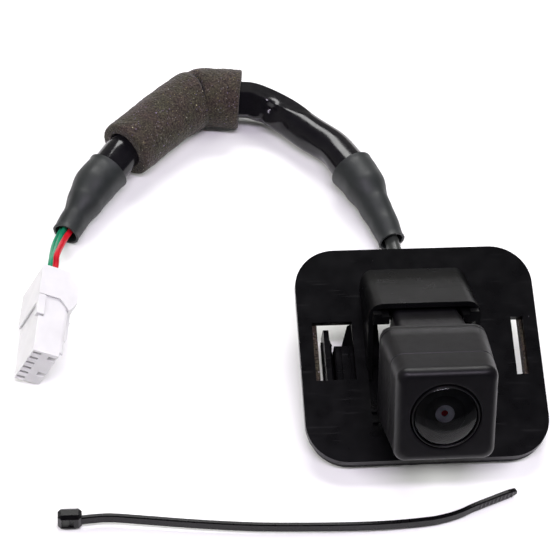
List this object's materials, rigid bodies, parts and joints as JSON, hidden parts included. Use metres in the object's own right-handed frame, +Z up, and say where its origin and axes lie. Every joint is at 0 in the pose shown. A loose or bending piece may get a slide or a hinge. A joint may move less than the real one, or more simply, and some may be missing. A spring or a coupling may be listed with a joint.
{
  "type": "backup camera kit",
  "caption": "Rear-view camera block in a snap-in bracket plate with a foam gasket, a sleeved lead ending in a multi-way connector, and a loose cable tie.",
  "frame": {"origin": "on the table, under the middle of the bracket, camera and tie taken together", "axes": "+X along the cable tie and across the bracket plate, -Y towards the side that the lens looks to, +Z up from the table"},
  "size_m": [0.119, 0.1348, 0.0352],
  "materials": {
    "bracket_plastic": "satin black moulded plastic",
    "adhesive_film": "thin acrylic adhesive film",
    "gasket_foam": "open-cell foam",
    "housing_plastic": "fine matt charcoal texture",
    "seal_rubber": "matt",
    "screw_steel": "plated",
    "ring_plastic": "matt black",
    "lens_glass": "coated, polished",
    "stop_grey": "satin grey",
    "inner_glass": "polished",
    "filter_glass": "coated",
    "sensor_face": "polished package glass",
    "circuit_board": "solder mask",
    "connector_plastic": "natural white nylon",
    "grommet_rubber": "matt",
    "cable_jacket": "satin",
    "heat_shrink": "satin polyolefin",
    "vinyl": "glossy soft vinyl",
    "sleeve_foam": "open-cell foam",
    "wire_green": "satin",
    "wire_red": "satin",
    "terminal_metal": "tin-flashed brass",
    "tie_nylon": "satin nylon"
  },
  "bodies": {
    "kit": {"mounting_bracket": "bracket_plastic", "gasket_adhesive": "adhesive_film", "foam_gasket": "gasket_foam", "camera_front_housing": "housing_plastic", "camera_rear_housing": "housing_plastic", "housing_seal": "seal_rubber", "housing_screws": "screw_steel", "lens_retaining_ring": "ring_plastic", "lens_seal": "seal_rubber", "lens_dome": "lens_glass", "lens_barrel": "ring_plastic", "lens_baffle": "ring_plastic", "aperture_stop": "stop_grey", "middle_lens": "inner_glass", "rear_lens": "inner_glass", "lens_mount": "ring_plastic", "mount_screws": "screw_steel", "ir_filter": "filter_glass", "image_sensor": "sensor_face", "sensor_board": "circuit_board", "board_header": "ring_plastic", "power_board": "circuit_board", "cable_plug": "connector_plastic", "cable_grommet": "grommet_rubber", "camera_cable": "cable_jacket", "heat_shrink_front": "heat_shrink", "vinyl_sheath": "vinyl", "foam_sleeve": "sleeve_foam", "heat_shrink_rear": "heat_shrink", "wire_green_upper": "wire_green", "wire_green_lower": "wire_green", "wire_red": "wire_red", "connector_housing": "connector_plastic", "connector_terminals": "terminal_metal"},
    "snap_clip": {"snap_clip": "bracket_plastic"},
    "latch": {"connector_latch": "connector_plastic"},
    "retainer": {"connector_retainer": "connector_plastic"},
    "tie": {"cable_tie": "tie_nylon"},
    "pawl": {"tie_pawl": "tie_nylon"}
  },
  "joints": [
    {"name": "snap_flex", "type": "hinge", "parent": "kit", "child": "snap_clip", "pos_m": [0.0066, 0.00807, 0.00841], "axis": [0, -0.9659, -0.2588], "range_deg": [0, 7], "stiffness_Nm_per_rad": 0.05},
    {"name": "latch_press", "type": "hinge", "parent": "kit", "child": "latch", "pos_m": [-0.05326, 0.01687, 0.00592], "axis": [0.367, -0.1218, 0.9222], "range_deg": [0, 3.5], "stiffness_Nm_per_rad": 0.02},
    {"name": "retainer_slide", "type": "slide", "parent": "kit", "child": "retainer", "axis": [-0.9216, 0.0874, 0.3782], "range_m": [0, 0.0012]},
    {"name": "tie_lift", "type": "slide", "parent": "kit", "child": "tie", "axis": [0, 0, 1], "range_m": [0, 0.06]},
    {"name": "pawl_flex", "type": "hinge", "parent": "tie", "child": "pawl", "pos_m": [-0.05222, -0.0274, 0.00243], "axis": [0.0113, 0, 0.9999], "range_deg": [0, 5], "stiffness_Nm_per_rad": 0.001}
  ]
}
